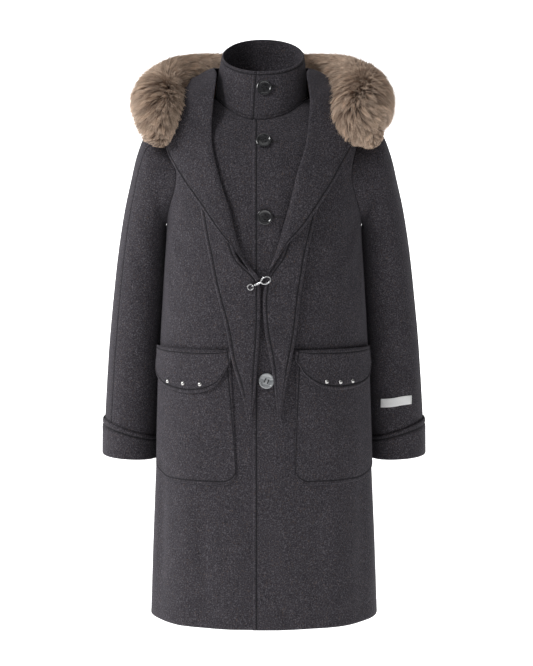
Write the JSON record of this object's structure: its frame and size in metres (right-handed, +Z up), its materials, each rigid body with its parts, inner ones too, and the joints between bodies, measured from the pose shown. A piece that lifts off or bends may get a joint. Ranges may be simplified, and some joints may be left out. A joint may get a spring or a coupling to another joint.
{
  "type": "overcoat",
  "caption": "Knee-length wool overcoat, buttoned, with stand collar, fur-edged hood lying down, pointed hood ends on a snap hook, flap pockets and turned-up cuffs.",
  "frame": {"origin": "centre of the neck opening at the level of the shoulder neck points, where the wearer's neck and shoulders hold the coat", "axes": "+Z up, -Y towards the front of the coat, +X towards the wearer's left"},
  "size_m": [0.641, 0.365, 1.1171],
  "materials": {
    "coat_wool": "matt charcoal melange wool melton",
    "fur": "long soft brown pile",
    "dark_button": "polished dark horn look",
    "grey_button": "polished grey horn look",
    "stud_metal": "dull nickel domes",
    "clasp_metal": "bright nickel plate",
    "label_cloth": "white woven tape, bare"
  },
  "bodies": {
    "root": {"front_right": "coat_wool", "front_left": "coat_wool", "back": "coat_wool", "collar": "coat_wool", "sleeve_right_front": "coat_wool", "sleeve_right_back": "coat_wool", "sleeve_left_front": "coat_wool", "sleeve_left_back": "coat_wool", "cuff_right": "coat_wool", "cuff_left": "coat_wool", "hood_tail_right": "coat_wool", "hood_tail_left": "coat_wool", "hood_right": "coat_wool", "hood_left": "coat_wool", "pocket_right": "coat_wool", "pocket_left": "coat_wool", "flap_right": "coat_wool", "flap_left": "coat_wool", "stud_1": "stud_metal", "stud_2": "stud_metal", "stud_3": "stud_metal", "stud_4": "stud_metal", "stud_5": "stud_metal", "stud_6": "stud_metal", "button_1": "dark_button", "button_2": "dark_button", "button_3": "dark_button", "button_4": "grey_button", "sleeve_label": "label_cloth", "clasp_ring": "clasp_metal", "clasp_hook": "clasp_metal", "fur_trim": "fur"}
  },
  "joints": []
}
